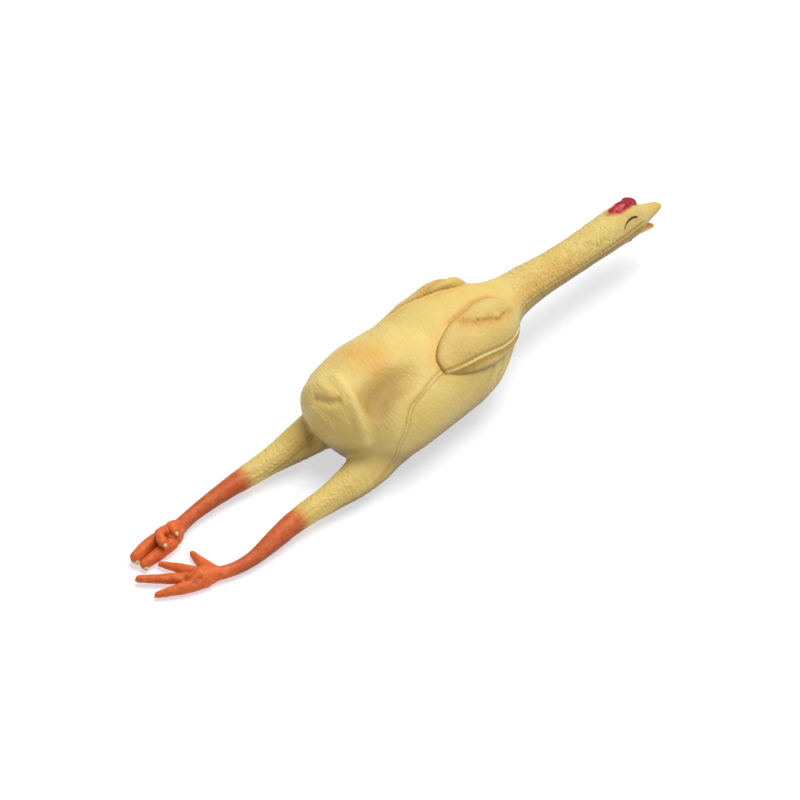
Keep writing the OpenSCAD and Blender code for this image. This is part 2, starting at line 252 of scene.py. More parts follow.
def smooth_line(points, per_span=6, closed=False):
    """A curve through the points (Catmull-Rom)."""
    p = np.array(points, float)
    ends = [p[-1], p[0], p[1]] if closed else [2 * p[0] - p[1], 2 * p[-1] - p[-2]]
    q = np.vstack([ends[0], p, *ends[1:]])
    t = (np.arange(per_span) / per_span)[:, None]
    out = []
    for a, b, c, d in zip(q, q[1:], q[2:], q[3:]):
        out.append(0.5 * (2 * b + (c - a) * t + (2 * a - 5 * b + 4 * c - d) * t ** 2
                          + (3 * b - a - 3 * c + d) * t ** 3))
    return np.vstack(out if closed else out + [p[-1:]])


def line_distance(p, line):
    """Distance from each point to a line of points, and how far along it is, 0 to 1."""
    best, share = np.full(len(p), 1e9), np.zeros(len(p))
    count = len(line) - 1
    for i in range(count):
        a, ab = line[i], line[i + 1] - line[i]
        t = np.clip((p - a) @ ab / (ab @ ab), 0, 1)
        d = np.linalg.norm(p - a - t[:, None] * ab, axis=1)
        near = d < best
        best[near], share[near] = d[near], (i + t[near]) / count
    return best, share


def chain_distance(p, stations):
    """Distance to a limb: a line of points with a radius at each."""
    best = np.full(len(p), 1e9)
    for a, b in zip(stations, stations[1:]):
        ab = b[:3] - a[:3]
        t = np.clip((p - a[:3]) @ ab / (ab @ ab), 0, 1)
        d = np.linalg.norm(p - a[:3] - t[:, None] * ab, axis=1) - a[3] - t * (b[3] - a[3])
        best = np.minimum(best, d)
    return best


def outline_distance(q, outline):
    """Distance inside (above zero) or outside a closed flat outline."""
    best, inside = np.full(len(q), 1e9), np.zeros(len(q), bool)
    for a, b in zip(outline, np.roll(outline, -1, axis=0)):
        ab = b - a
        t = np.clip((q - a) @ ab / max(ab @ ab, 1e-9), 0, 1)
        best = np.minimum(best, np.linalg.norm(q - a - t[:, None] * ab, axis=1))
        crosses = (a[1] > q[:, 1]) != (b[1] > q[:, 1])
        rise = b[1] - a[1] if b[1] != a[1] else 1e-9
        inside ^= crosses & (q[:, 0] < a[0] + (q[:, 1] - a[1]) * ab[0] / rise)
    return np.where(inside, best, -best)


# ---- the field

class Sweep:
    """A tube along X with oval sections, whose sizes follow the rows without overshoot."""

    def __init__(self, rows, step=0.5):
        rows = np.array(rows, float)
        x, v = rows[:, 0], rows[:, 1:]
        slope = np.diff(v, axis=0) / np.diff(x)[:, None]
        tangent = np.vstack([slope[:1], np.zeros((len(x) - 2, v.shape[1])), slope[-1:]])
        together = slope[:-1] * slope[1:]
        total = np.where(together > 0, slope[:-1] + slope[1:], 1)
        tangent[1:-1] = np.where(together > 0, 2 * together / total, 0)
        self.x = np.arange(x[0], x[-1] + step / 2, step)
        i = np.clip(np.searchsorted(x, self.x, side="right") - 1, 0, len(x) - 2)
        span = (x[i + 1] - x[i])[:, None]
        t = np.clip((self.x - x[i])[:, None] / span, 0, 1)
        self.values = ((1 + 2 * t) * (1 - t) ** 2 * v[i] + t * (1 - t) ** 2 * span * tangent[i]
                       + t * t * (3 - 2 * t) * v[i + 1] + t * t * (t - 1) * span * tangent[i + 1])
        self.slopes = np.gradient(self.values[:, 2:], self.x, axis=0)

    def section(self, x):
        return [np.interp(x, self.x, column) for column in self.values.T]

    def distance(self, p):
        x = np.clip(p[:, 0], self.x[0], self.x[-1])
        cy, cz, a, b = self.section(x)
        y, z = p[:, 1] - cy, p[:, 2] - cz
        k0, k1 = np.hypot(y / a, z / b), np.hypot(y / a ** 2, z / b ** 2)
        side = k0 * (k0 - 1) / np.maximum(k1, 1e-4)
        across = (y / a) ** 2 / np.maximum(k0 ** 2, 1e-4)
        lean = (np.interp(x, self.x, self.slopes[:, 0]) * across
                + np.interp(x, self.x, self.slopes[:, 1]) * (1 - across))
        side = side / np.sqrt(1 + np.minimum(lean ** 2, 4))
        past = np.abs(p[:, 0] - x)
        to_end = -np.minimum(p[:, 0] - self.x[0], self.x[-1] - p[:, 0])
        return np.where(past > 0, np.hypot(np.maximum(side, 0), past), np.maximum(side, to_end))

    def angle(self, p):
        """Degrees above level on the right side, past 90 on the left."""
        cy, cz, _, _ = self.section(p[:, 0])
        turn = np.degrees(np.arctan2(p[:, 2] - cz, cy - p[:, 1]))
        return np.where(turn < -90, turn + 360, turn)

    def surface(self, x, angle):
        """The point of the surface at x and that angle."""
        cy, cz, a, b = self.section(np.asarray(x, float))
        c, s = np.cos(np.radians(angle)), np.sin(np.radians(angle))
        r = 1 / np.sqrt((c / a) ** 2 + (s / b) ** 2)
        return np.stack([np.asarray(x, float), cy - r * c, cz + r * s], axis=-1)


TRUNK = Sweep(TRUNK_ROWS)
JAW = Sweep(JAW_ROWS)
LIMB = {side: smooth_line(rows, 4) for side, rows in LEG.items()}
TOE_CHAIN = {side: {name: smooth_line(rows, 4) for name, rows in toes.items()}
             for side, toes in TOE.items()}


def ellipsoid_distance(p, centre, size):
    q = (p - np.array(centre, float)) / np.array(size, float)
    k0 = np.linalg.norm(q, axis=1)
    k1 = np.linalg.norm(q / np.array(size, float), axis=1)
    return k0 * (k0 - 1) / np.maximum(k1, 1e-4)


def ball_distance(p, ball):
    return np.linalg.norm(p - np.array(ball[:3]), axis=1) - ball[3]


def above_floor(d, p):
    """The foot shape pressed flat where it lies on the floor."""
    return soft_max(d, FLOOR_GAP - p[:, 2], FOOT_FLOOR_SOFTNESS)


def plain_trunk(p):
    """Trunk, neck and head, with the open mouth cut away under the upper beak."""
    d = TRUNK.distance(p)
    roof = np.interp(p[:, 0], *np.array(MOUTH_ROOF, float).T)
    cut = soft_max(d, MOUTH_SLOPE * (roof - p[:, 2]), MOUTH_SOFTNESS)
    return np.where(p[:, 0] > MOUTH_ROOF[0][0], cut, d)


def trunk_shape(p):
    """The trunk without legs or mouth, which the wings lie on."""
    d = soft_min(TRUNK.distance(p), ellipsoid_distance(p, RUMP_CENTRE, RUMP_SIZE), RUMP_SOFTNESS)
    return soft_max(d, -p[:, 2], FLOOR_SOFTNESS)


def body_shape(p):
    """The trunk with both thighs grown into it."""
    d = soft_min(plain_trunk(p), ellipsoid_distance(p, RUMP_CENTRE, RUMP_SIZE), RUMP_SOFTNESS)
    for side in LEG:
        near = p[:, 0] < LEGS_BEHIND_X
        reach = LEG_MELT + (HIP_SOFTNESS - LEG_MELT) * ramp(p[near, 0], *HIP_MELT_X)
        leg = chain_distance(p[near], LIMB[side])
        d[near] = np.minimum(d[near], leg) - np.maximum(reach - np.abs(d[near] - leg), 0) ** 2 / reach / 4
    return soft_max(d, -p[:, 2], FLOOR_SOFTNESS)


def foot_shape(p):
    """Both lower legs with their palms, and the splayed toes of the right foot."""
    d = np.full(len(p), 1e9)
    for side in LEG:
        foot = chain_distance(p, LIMB[side])
        low = p[:, 0] < HANDS_BEHIND_X
        q = p[low]
        hand = soft_min(foot[low], ball_distance(q, PALM[side]), PALM_MELT)
        if side == SPLAYED:
            toes = np.full(len(q), 1e9)
            for name in TOE_NAMES:
                toes = soft_min(toes, chain_distance(q, TOE_CHAIN[side][name]), TOE_MELT)
            hand = soft_min(hand, toes, TOES_MELT)
        foot[low] = hand
        d = np.minimum(d, foot)
    return above_floor(d, p)


def onto_skin(points):
    """The points moved onto the plain shape."""
    p = smooth_line(points)
    for _ in range(12):
        slope = np.stack([body_shape(p + step) - body_shape(p - step) for step in np.eye(3) * 0.2], 1) / 0.4
        p = p - 0.8 * body_shape(p)[:, None] * slope / np.maximum((slope ** 2).sum(1), 0.2)[:, None]
    return p


MARK_LINES = {name: (onto_skin(points), width, height) for name, points, width, height in MARKS}
NECK_SEAM_LINE = TRUNK.surface(*smooth_line(NECK_SEAM).T)


def blob(p, centre, reach):
    """1 at the centre, fading to 0 at about twice the reach."""
    return np.exp(-(((p - np.array(centre, float)) / np.array(reach, float)) ** 2).sum(1))


def between(x, start, end):
    """1 between two ramps, 0 before the first and after the second."""
    return ramp(x, *start) * (1 - ramp(x, *end))


# where the skin changes: along X for the trunk, along minus X for the legs
NECK_FROM, NECK_TO = (66, 92), (188, 206)
BACK_FROM, BACK_TO = (-80, -40), (50, 80)
HOCK_FROM, HOCK_TO = (118, 140), (154, 163)
SHANK_FROM, TOES_FROM = (154, 170), (212, 222)
TRUNK_ONLY = (-100, -70)  # minus the distance from x = -10
NECK_SIDE, NECK_FAR_SIDE = (-10, 25), (-190, -165)  # degrees round the neck
SEAM_GROOVE, SEAM_BEAD = (2.2, -0.8), (0.85, 1.2)
MARK_FADE = 0.12
# noise in the skin: height, size of one swing on each axis, seed
NOISES = {
    "dents": (0.45, (24, 20, 20), 3), "unevenness": (0.14, (9, 8, 8), 5),
    "neck_rings": (1.0, (2.0, 5, 5), 11), "neck_cracks": (0.6, (1.6, 3, 3), 12),
    "back_strokes": (0.14, (2.2, 8, 8), 21), "back_grain": (0.08, (2, 2, 2), 22),
    "hock_wrinkles": (0.55, (16, 1.7, 1.7), 41),
    "shank_scales": (0.12, (9, 2.2, 2.2), 51), "toe_scales": (0.18, (2.2, 2.2, 2.2), 52),
    "beak": (0.1, (5, 4, 4), 61), "comb": (0.5, (3.6, 3, 3), 71),
    "wing_grain": (0.07, (1.6, 2.0, 2.0), 82), "wing_dents": (0.25, (8, 5, 5), 83),
    "wing_fold": (0.5, (2, 3, 3), 84), "wing_saw": (0.5, (1.8, 9, 9), 81),
}
RINGS_HEIGHT, RINGS_BELOW = 0.2, 0.3


def rough(p, name):
    height, size, seed = NOISES[name]
    return height * lattice_noise(p, size, seed)


def mark_height(p, line, width, height):
    """A crease or bead that fades out at both ends."""
    low, high = line.min(0) - 3 * width, line.max(0) + 3 * width
    near = np.all((p > low) & (p < high), axis=1)
    out = np.zeros(len(p))
    d, share = line_distance(p[near], line)
    fade = ramp(np.minimum(share, 1 - share), 0, MARK_FADE)
    out[near] = height * fade * gauss(d, width)
    return out


def skin_relief(p):
    """How far the moulded skin stands out from the plain shape."""
    x = p[:, 0]
    out = rough(p, "dents") * ramp(-np.abs(x + 10), *TRUNK_ONLY)
    out += rough(p, "unevenness")
    for line, width, height in MARK_LINES.values():
        out += mark_height(p, line, width, height)
    for _, centre, reach, height in SWELLS:
        out += height * blob(p, centre, reach)
    neck, turn = between(x, NECK_FROM, NECK_TO), TRUNK.angle(p)
    upper = RINGS_BELOW + (1 - RINGS_BELOW) * ramp(turn, *NECK_SIDE) * ramp(-turn, *NECK_FAR_SIDE)
    out += RINGS_HEIGHT * neck * upper * (rough(p, "neck_rings") + rough(p, "neck_cracks"))
    out += mark_height(p, NECK_SEAM_LINE, *SEAM_GROOVE) + mark_height(p, NECK_SEAM_LINE, *SEAM_BEAD)
    slant = np.stack([x + 0.9 * p[:, 2], x * 0.2 - p[:, 2], p[:, 1]], 1)
    out += between(x, BACK_FROM, BACK_TO) * (rough(slant, "back_strokes") + rough(p, "back_grain"))
    return out + between(-x, HOCK_FROM, HOCK_TO) * rough(p, "hock_wrinkles")


def leg_relief(p):
    """Wrinkles above the hock, faint scales on the shanks, and rings on the toes."""
    back = -p[:, 0]
    out = rough(p, "unevenness") + between(back, HOCK_FROM, HOCK_TO) * rough(p, "hock_wrinkles")
    out += ramp(back, *SHANK_FROM) * rough(p, "shank_scales")
    out += ramp(back, *TOES_FROM) * rough(p, "toe_scales")
    for _, centre, reach, height in PADS:
        out += height * blob(p, centre, reach)
    return out


def skin_field(p):
    d = body_shape(p)
    near = np.abs(d) < NEAR_SKIN
    d[near] -= skin_relief(p[near])
    return d


def leg_field(p):
    return foot_shape(p) - leg_relief(p)


def curled_toe_field(name):
    """One toe of the curled foot, closed at its root, apart from the palm."""
    def field(p):
        toe = chain_distance(p, TOE_CHAIN[CURLED][name])
        return above_floor(toe, p) - leg_relief(p)
    return field


def jaw_field(p):
    return JAW.distance(p) - rough(p, "beak")


def balls_field(balls, reach):
    """Rounded lumps that run together."""
    def field(p):
        d = np.full(len(p), 1e9)
        for ball in balls:
            d = soft_min(d, ball_distance(p, ball), reach)
        return d - rough(p, "comb")
    return field


def wing_chart(p, side):
    """Places on the trunk as flat coordinates: along it, and round it from level."""
    angle = TRUNK.angle(p)
    angle = angle if side == "right" else 180 - angle
    return np.stack([p[:, 0], ARC * angle], 1)


CHART = np.array([1.0, ARC])
WING_EDGE = {side: smooth_line(np.array(outline) * CHART, 4, closed=True)
             for side, outline in WING_OUTLINE.items()}
SEAM_LINE, FOLD_LINE = (smooth_line(np.array(line) * CHART) for line in (WING_SEAM, WING_FOLD))
# how far the wing stands out: under the seam, and more above it
WING_UNDER, WING_OVER, SEAM_STEP = 1.9, 1.3, (-0.8, 1.2)
WING_EDGE_ROUND, WING_EDGE_FADE = 5, 17
# swellings of the upper wing: centre, reach, tilt, height
WING_SWELLS = [((12, 45), (22, 9), -10, 2.8), ((44, 61), (17, 6), -10, 1.8), ((46, 35), (22, 8), -12, 2.6)]
WING_FLANGE, FLANGE_X = 1.6, (-14, 2)
WING_TAPER, TAPER_X = 0.45, (44, 66)
FAR_WING_DROP, FAR_WING_REAR, FAR_WING_X = 1.8, 0.12, (-2, 52)
FOLD_DEPTH, FOLD_WIDTH, FOLD_FADE, FOLD_ROUGH_WIDTH = 1.9, 1.9, 0.35, 6
WING_BEAD, WING_BEAD_WIDTH, WING_GROOVE, WING_GROOVE_WIDTH = 1.0, 0.9, 1.1, 2.2
OUTSIDE_FALL = 2.2


def chart_bump(q, centre, reach, tilt=0.0):
    """A smooth swelling on the chart; tilt turns its long side, in degrees."""
    c, s = math.cos(math.radians(tilt)), math.sin(math.radians(tilt))
    d = q - np.array(centre) * CHART
    u, v = d[:, 0] * c + d[:, 1] * s, d[:, 1] * c - d[:, 0] * s
    return np.exp(-(u / reach[0]) ** 2 - (v / reach[1]) ** 2)


def wing_height(p, side):
    """How far the folded wing stands out from the trunk."""
    q = wing_chart(p, side)
    inside = outline_distance(q, WING_EDGE[side])
    faded = ramp(q[:, 0], 48, 62) * ramp(q[:, 1], 14, 26) if side == "right" else 0
    share_in = np.clip(inside / (WING_EDGE_ROUND + WING_EDGE_FADE * faded), 0, 1)
    rise = np.sqrt(np.clip(1 - (1 - share_in) ** 2, 0, 1))
    seam, _ = line_distance(q, SEAM_LINE)
    above = q[:, 1] - np.interp(q[:, 0], SEAM_LINE[:, 0], SEAM_LINE[:, 1])
    fold, share = line_distance(q, FOLD_LINE)
    main = ramp(above, *SEAM_STEP)
    height = WING_UNDER + WING_OVER * main
    for centre, reach, tilt, swell in WING_SWELLS:
        height += main * swell * chart_bump(q, centre, reach, tilt)
    height *= 1 - WING_TAPER * ramp(q[:, 0], *TAPER_X)
    height += WING_FLANGE * (1 - main) * ramp(q[:, 0], *FLANGE_X)
    height -= FOLD_DEPTH * gauss(fold, FOLD_WIDTH) * ramp(np.minimum(share, 1 - share), 0, FOLD_FADE)
    if side == "left":
        height -= main * FAR_WING_DROP * chart_bump(q, *WING_SWELLS[0][:3])
        height *= FAR_WING_REAR + (1 - FAR_WING_REAR) * ramp(q[:, 0], *FAR_WING_X)
    height *= WING_LIFT[side]
    saw = 0.5 + rough(p, "wing_saw")
    height += (WING_BEAD + 0.5 * saw) * gauss(seam, WING_BEAD_WIDTH)
    height -= WING_GROOVE * gauss(seam, WING_GROOVE_WIDTH)
    height += rough(p, "wing_grain") + rough(p, "wing_dents")
    height += gauss(fold, FOLD_ROUGH_WIDTH) * rough(p, "wing_fold")
    return np.where(inside > 0, rise * height, OUTSIDE_FALL * inside)


def wing_field(side):
    def field(p):
        trunk = trunk_shape(p)
        return np.maximum(trunk - wing_height(p, side), -(trunk + WING_INSIDE))
    return field


# ---- from field to pieces

def mesh_field(field, low, high, voxel, reach=3.0):
    """Corners and four-sided faces of the surface where the field is zero."""
    low, high = np.array(low, float), np.array(high, float)
    block = 4
    shape = np.ceil((high - low) / voxel / block).astype(int) * block
    coarse = np.stack(np.meshgrid(*[np.arange(n // block) for n in shape], indexing="ij"), -1).reshape(-1, 3)
    middle = low + (coarse * block + (block - 1) / 2) * voxel
    distance = field(middle)
    near = np.abs(distance) < 1.5 * block * voxel + 2.0
    values = np.where(distance < 0, -reach, reach).reshape(shape // block)
    for axis in range(3):
        values = np.repeat(values, block, axis)
    offsets = np.stack(np.meshgrid(*[np.arange(block)] * 3, indexing="ij"), -1).reshape(-1, 3)
    cells = (coarse[near][:, None] * block + offsets).reshape(-1, 3)
    for part in np.array_split(cells, max(1, len(cells) // 400000)):
        values[tuple(part.T)] = field(low + part * voxel)
    grid = openvdb.FloatGrid(reach)
    grid.copyFromArray(np.clip(values, -reach, reach).astype(np.float32))
    points, _, quads = grid.convertToPolygons(isovalue=0.0, adaptivity=0.0)
    corners = low + np.array(points, float) * voxel
    faces = np.array(quads, np.int64)
    if signed_volume(corners, faces) < 0:
        faces = faces[:, ::-1]
    return corners, faces


def signed_volume(corners, faces):
    a, b, c, d = (corners[faces[:, i]] - corners.mean(0) for i in range(4))
    return float((np.cross(a, b) * c).sum() + (np.cross(a, c) * d).sum())


def corner_normals(corners, faces):
    a, b, c, d = (corners[faces[:, i]] for i in range(4))
    normal = np.cross(c - a, d - b)
    out = np.zeros_like(corners)
    for i in range(4):
        np.add.at(out, faces[:, i], normal)
    return out / np.maximum(np.linalg.norm(out, axis=1), 1e-9)[:, None]


class Surface:
    """A meshed region, which gives out pieces that share its corners and shading."""

    def __init__(self, corners, faces, paint):
        self.corners, self.faces = corners, faces
        self.normals = corner_normals(corners, faces)
        self.middle = corners[faces].mean(1)
        self.paint = paint

    def piece(self, name, chosen, material, nodes, slot):
        faces = self.faces[chosen]
        used, index = np.unique(faces, return_inverse=True)
        faces = index.reshape(faces.shape)
        corners, normals = self.corners[used], self.normals[used]
        colours = self.paint(corners, normals)
        corners, normals, faces3, colours = close_ends(corners, normals, faces, colours)
        return make_piece(name, corners, faces, faces3, normals, colours, material, nodes)


def whole_piece(name, field, box, voxel, paint, material, node, slot, reach=3.0):
    """A piece with a closed surface of its own."""
    s = Surface(*mesh_field(field, *box, voxel, reach), paint)
    return s.piece(name, np.ones(len(s.faces), bool), material, [node], slot)


def close_ends(corners, normals, faces, colours):
    """Fans that close the open ends, so that each piece is a solid."""
    edges = np.concatenate([faces[:, [i, (i + 1) % 4]] for i in range(4)])
    key = np.sort(edges, axis=1)
    _, first, count = np.unique(key[:, 0] * len(corners) + key[:, 1], return_index=True, return_counts=True)
    rim = edges[first[count == 1]]
    following = dict(zip(rim[:, 0].tolist(), rim[:, 1].tolist()))
    extra, fans = [], []
    while following:
        start, at = following.popitem()
        loop = [start]
        while at != start and at in following:
            loop.append(at)
            at = following.pop(at)
        if at != start or len(loop) < 3:
            continue
        centre = len(corners) + len(extra)
        extra.append(loop)
        fans += [(b, a, centre) for a, b in zip(loop, loop[1:] + loop[:1])]
    if extra:
        corners = np.vstack([corners] + [corners[l].mean(0) for l in extra])
        normals = np.vstack([normals] + [normals[l].mean(0) for l in extra])
        colours = {k: np.vstack([v] + [v[l].mean(0) for l in extra]) if v.ndim > 1
                   else np.concatenate([v, [v[l].mean() for l in extra]]) for k, v in colours.items()}
    return corners, normals, np.array(fans, np.int64).reshape(-1, 3), colours


def make_piece(name, corners, quads, triangles, normals, colours, material, nodes):
    mesh = bpy.data.meshes.new(name)
    mesh.vertices.add(len(corners))
    mesh.vertices.foreach_set("co", (corners * MM).astype(np.float32).ravel())
    mesh.loops.add(quads.size + triangles.size)
    corner_numbers = np.concatenate([quads.ravel(), triangles.ravel()])
    mesh.loops.foreach_set("vertex_index", corner_numbers.astype(np.int32))
    mesh.polygons.add(len(quads) + len(triangles))
    starts = np.concatenate([np.arange(len(quads)) * 4, quads.size + np.arange(len(triangles)) * 3])
    mesh.polygons.foreach_set("loop_start", starts.astype(np.int32))
    mesh.update(calc_edges=True)
    mesh.polygons.foreach_set("use_smooth", np.ones(len(mesh.polygons), bool))
    if normals is not None:
        mesh.normals_split_custom_set_from_vertices(normals.astype(np.float32))
    rest = mesh.attributes.new("rest", "FLOAT_VECTOR", "POINT")
    rest.data.foreach_set("vector", (corners * MM).astype(np.float32).ravel())
    for key, value in colours.items():
        mesh.attributes.new(key, "FLOAT", "POINT").data.foreach_set("value", value.astype(np.float32))
    mesh.materials.append(material)
    piece = bpy.data.objects.new(name, mesh)
    bpy.context.scene.collection.objects.link(piece)
    if nodes:
        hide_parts(*nodes)
    return piece


def blend(piece, a, b, start, end):
    Vector(np.array(start, float) * MM)
    Vector(np.array(end, float) * MM)
    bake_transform(piece)


# ---- paint

def line_glow(p, line, width):
    return gauss(line_distance(p, smooth_line(line))[0], width)


def trunk_line(rows):
    return [tuple(v) for v in TRUNK.surface(*np.array(rows, float).T)]


UPPER_CREASE = trunk_line([(8, 73), (21, 75), (36, 76.5), (51, 73), (61, 61)])
REAR_CREASE = trunk_line([(-23, 38), (-23, 51), (-16, 61), (-7, 68), (6, 73)])
FAR_CREASE = trunk_line([(-10, 132), (0, 126), (13, 117), (24, 110), (37, 108), (52, 114)])
NECK_SHADE = trunk_line([(74, 40), (92, 38), (112, 34), (134, 28), (152, 20)])
# orange spray: line, width, share; then patches: centre, reach, share
WARM_LINES = [(UPPER_CREASE, 4, 0.6), (REAR_CREASE, 4.5, 0.5), (FAR_CREASE, 4.5, 0.45), (NECK_SHADE, 7, 0.6)]
WARM_PATCHES = [
    ((-54, 20, 74), (13, 15, 14), 0.6), ((-52, 4, 79), (13, 12, 12), 0.6), ((-60, -8, 78), (9, 7, 10), 0.6),
    ((-103, 22, 18), (12, 10, 12), 0.7), ((-88, -40, 22), (20, 9, 12), 0.35),
]
# painted shade in brown, in the hollows: centre, reach, share; then painted shade along the creases: name,
# width, share
SHADE_PATCHES = [((-66, -22, 73), (20, 13, 15), 1.3), ((-79, -28, 62), (9, 13, 14), 0.8)]
CREASE_SHADE_MARKS = [("tail_fold", 2.6, 0.4), ("breast_wrinkle_1", 2.2, 0.3), ("breast_wrinkle_2", 2.2, 0.3),
              ("breast_wrinkle_3", 2.2, 0.3)]
SEAM_SHADOW_DROP = (0, 0, 3.4)
# ranges over which a paint fades in: X in front, minus X behind, or how far a face looks down
# where the painted shade on the flanks ends at the thighs, and where the legs' darkening, partly painted
# shade, fades out towards the feet
LEG_PAINT, THIGH_SHADE, FOOT_LESS_DARK = (146.5, 160), (-150, -120), (204, 222)
# where the painted shade under the neck begins, and where the head's darkening fades out towards the beak
NECK_PAINT, HEAD_PAINT, BEAK_LESS_DARK = (60, 74), (186, 204), (224, 244)
GOOSE_FROM, GOOSE_TO = (96, 110), (138, 150)
CREPE_FROM, CREPE_TO = (66, 96), (186, 206)
MOUTH_X, MOUTH_DOWN, MOUTH_Z = (229, 235), (0.45, 0.8), (-43, -40)
COMB_RED, WATTLE_RED = (-0.6, 1.6), (1.0, 4.0)
JAW_INSIDE_X, JAW_INSIDE_UP, JAW_TINT, JAW_RED = (226, 232), (0.35, 0.7), (-240, -226), (-232, -220)
PAINTS = ("warm", "leg", "red", "mouth", "pale", "deep", "goose", "crepe", "shade")


def paints(count, **given):
    """Every paint as a share from 0 to 1; what isn't given stays bare."""
    return {name: np.clip(np.zeros(count) + given.get(name, 0.0), 0, 1) for name in PAINTS}


def paint_skin(p, normal):
    """Where the airbrush went: orange shades, the leg colour and the red of the comb; and painted shade in
    hollows, creases and underneath, with painted highlights on ridges and seam beads.
    """
    x, z, down = p[:, 0], p[:, 2], -normal[:, 2]
    warm = sum(share * line_glow(p, line, width) for line, width, share in WARM_LINES)
    warm += sum(share * blob(p, centre, reach) for centre, reach, share in WARM_PATCHES)
    comb = chain_distance(p, np.array(COMB_SPRAY))
    wattle = np.min([ball_distance(p, (b[0], side * b[1], *b[2:]))
                     for b in WATTLE_BALLS for side in (-1, 1)], axis=0)
    red = np.maximum(1 - ramp(comb, *COMB_RED), 0.9 * (1 - ramp(wattle, *WATTLE_RED)))
    mouth = ramp(x, *MOUTH_X) * ramp(down, *MOUTH_DOWN) * ramp(-z, *MOUTH_Z)
    leg = ramp(-x, *LEG_PAINT)
    # painted shade in the hollows of the back and rump
    deep = sum(share * blob(p, centre, reach) for centre, reach, share in SHADE_PATCHES)
    # painted shade in the crease above the near wing
    deep += 0.6 * line_glow(p, UPPER_CREASE, 1.5)
    # painted shade on the underside of the neck
    deep += 0.9 * ramp(x, *NECK_PAINT) * ramp(down, -0.35, 0.5)
    # the legs darker all over, with painted shade on their undersides; the feet less so
    deep += leg * (0.5 + 0.75 * ramp(down, -0.6, 0.4)) * (1 - 0.85 * ramp(-x, *FOOT_LESS_DARK))
    # the head a little darker, the beak less so
    deep += 0.3 * ramp(x, *HEAD_PAINT) * (1 - 0.7 * ramp(x, *BEAK_LESS_DARK))
    # painted shade in the creases of the feet
    for _, centre, reach, height in PADS:
        deep += 0.6 * (height < 0) * blob(p, centre, reach)
    # painted shade along the tail fold and the breast wrinkles
    for name, width, share in CREASE_SHADE_MARKS:
        deep += share * mark_height(p, MARK_LINES[name][0], width, 1.0)
    # painted highlight along the tail ridge
    pale = mark_height(p, MARK_LINES["tail_ridge"][0], 3.2, 1.0)
    # on each seam bead: a painted highlight on the bead and painted shade on either side of it
    for line in (MARK_LINES["flank_bead"][0], MARK_LINES["far_bead"][0], NECK_SEAM_LINE):
        pale += 0.5 * mark_height(p, line, 0.7, 1.0)
        deep += 1.1 * mark_height(p, line, 1.7, 1.0) - 1.3 * mark_height(p, line, 0.8, 1.0)
    # painted shadow under the neck seam
    deep += 0.5 * mark_height(p + SEAM_SHADOW_DROP, NECK_SEAM_LINE, 3.4, 1.0)
    return paints(
        len(p), warm=warm, leg=leg, red=red, mouth=mouth, pale=pale, deep=deep,
        # painted shade low on the flanks, on faces that look down
        shade=ramp(-z, -58, -18) * ramp(down, -0.25, 0.5) * ramp(x, *THIGH_SHADE),
        goose=0.25 + 0.75 * between(-x, GOOSE_FROM, GOOSE_TO) - 0.2 * leg,
        crepe=0.2 + 0.8 * ramp(x, *CREPE_FROM) - 0.75 * ramp(x, *CREPE_TO) - 0.1 * leg)


def paint_wing(side):
    def paint(p, normal):
        q = wing_chart(p, side)
        fold, _ = line_distance(q, FOLD_LINE)
        seam, _ = line_distance(q, SEAM_LINE)
        edge = outline_distance(q, WING_EDGE[side])
        under = q[:, 1] - np.interp(q[:, 0], SEAM_LINE[:, 0], SEAM_LINE[:, 1])
        warm = 0.85 * gauss(fold, 4) + 0.45 * gauss(edge, 2.5) * ramp(q[:, 1], 30, 42)
        warm += 0.35 * chart_bump(q, (0, 50), (12, 8))
        if side == "left":
            warm += 0.2 * chart_bump(q, (10, 55), (30, 7))
        # painted highlight on the seam bead
        pale = 0.9 * gauss(seam, 0.8)
        # painted shade on both sides of the seam
        deep = 0.9 * gauss(under + 2.2, 1.5) + 0.5 * gauss(under - 2, 1.2)
        # painted shade along the wing's lower edge, under its overhang
        deep += 0.9 * ramp(-under, 3, 9) * (1 - ramp(edge, 0.5, 5))
        # painted shade along the wing's rim, not at its front
        rim = 0.7 * gauss(edge, 1.2) * ramp(-q[:, 0], -50, -36)
        deep += rim * (1 - 0.6 * chart_bump(q, (-2, 68), (14, 9)))
        # the whole wing a little darker, more below the seam, with painted shade in the fold
        deep += 0.24 + 0.12 * ramp(-under, -6, 3) + 0.3 * gauss(fold, 1.5)
        # the highlight is kept clear of the painted shade; painted shade on faces that look down
        return paints(len(p), warm=warm, pale=pale, deep=deep - pale, goose=0.35,
                      crepe=0.25 + 0.5 * gauss(fold, 6), shade=0.6 * ramp(-normal[:, 2], -0.1, 0.7))
    return paint


def paint_jaw(p, normal):
    x, z = p[:, 0], p[:, 2]
    inside = ramp(normal[:, 2], *JAW_INSIDE_UP) * ramp(x, *JAW_INSIDE_X)
    # inside the mouth: the mouth colour, darkened with painted shade
    return paints(len(p), warm=0.4 * ramp(-x, *JAW_TINT), mouth=inside, deep=0.3 * inside,
                  red=0.3 * ramp(-x, *JAW_RED) * ramp(-z, -40, -36))


def paint_plain(*_):
    """Nothing, for a piece whose material is one paint all over."""
    return {}


# ---- materials

def srgb(r, g, b):
    """A colour as seen on screen, 0 to 255, as linear values."""
    shares = [c / 255 for c in (r, g, b)]
    return (*[c / 12.92 if c <= 0.04045 else ((c + 0.055) / 1.055) ** 2.4 for c in shares], 1.0)


YELLOW, YELLOW_DEEP, WARM = srgb(216, 194, 118), srgb(205, 169, 82), srgb(216, 152, 66)
# painted shade for the undersides
UNDERSIDE_SHADE = srgb(124, 101, 58)
# the legs' darker colour: a darker tone, with painted shade on their undersides
LEG_SHADE = srgb(96, 32, 18)
LEG_ORANGE, LEG_DEEP = srgb(226, 108, 48), srgb(186, 68, 28)
RED, RED_DEEP = srgb(172, 22, 34), srgb(126, 10, 24)
